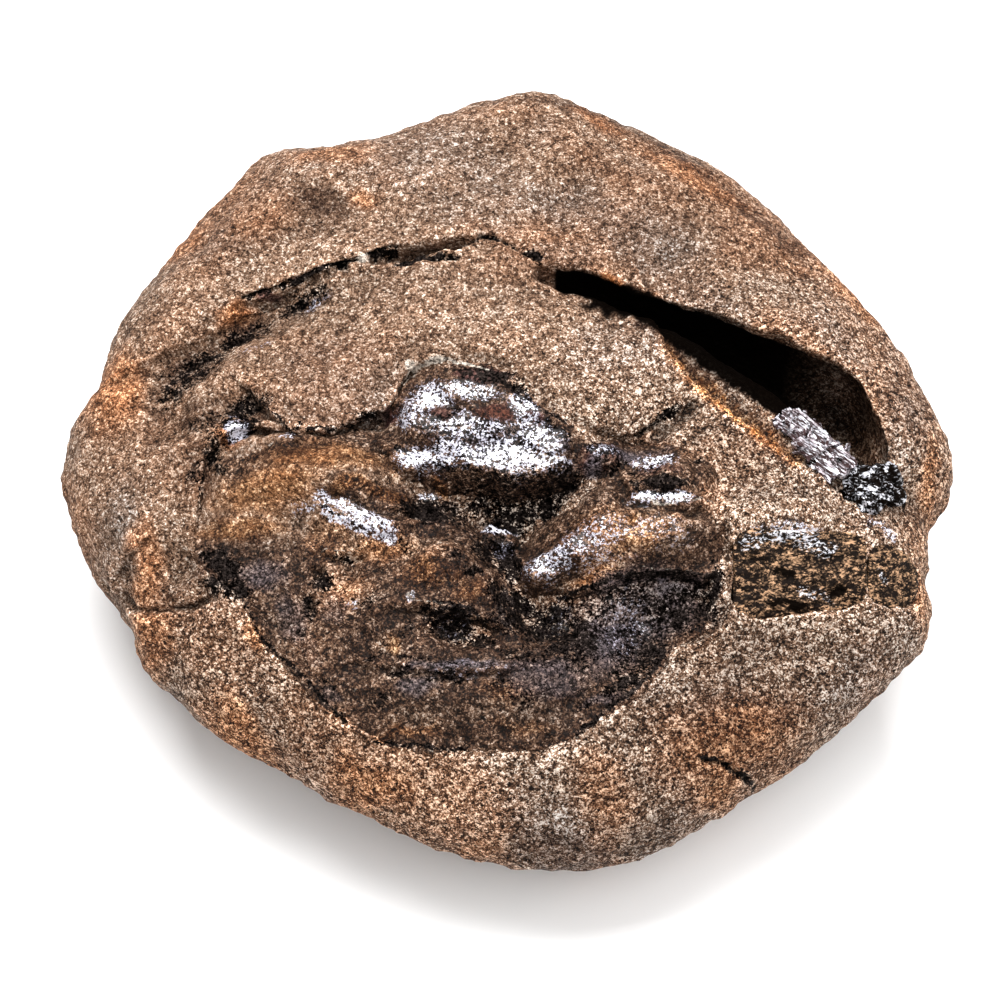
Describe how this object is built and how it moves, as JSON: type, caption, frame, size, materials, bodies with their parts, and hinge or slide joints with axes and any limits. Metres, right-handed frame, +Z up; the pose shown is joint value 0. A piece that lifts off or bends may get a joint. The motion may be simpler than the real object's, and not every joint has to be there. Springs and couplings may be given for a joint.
{
  "type": "fossil crab",
  "caption": "Fossil crab in a split oval sandstone nodule, its glossy shell exposed on the upper face beside a deep claw hollow.",
  "frame": {"origin": "middle of the footprint, on the surface that the nodule rests on", "axes": "+X along the nodule's longest width, +Y towards the crab's front edge and the claw hollow, +Z up out of the split face"},
  "size_m": [0.092, 0.0842, 0.0331],
  "materials": {
    "sandstone": "rough speckled brown sandstone",
    "crab_shell": "glossy black and brown petrified shell, varnished and pitted",
    "limb_shell": "semi-gloss dark brown petrified shell",
    "claw_shell": "glossy near-black petrified shell"
  },
  "bodies": {
    "root": {"nodule": "sandstone", "carapace": "crab_shell", "leg": "limb_shell", "shin": "limb_shell", "claw_flake": "claw_shell", "claw_knuckle": "claw_shell"}
  },
  "joints": []
}
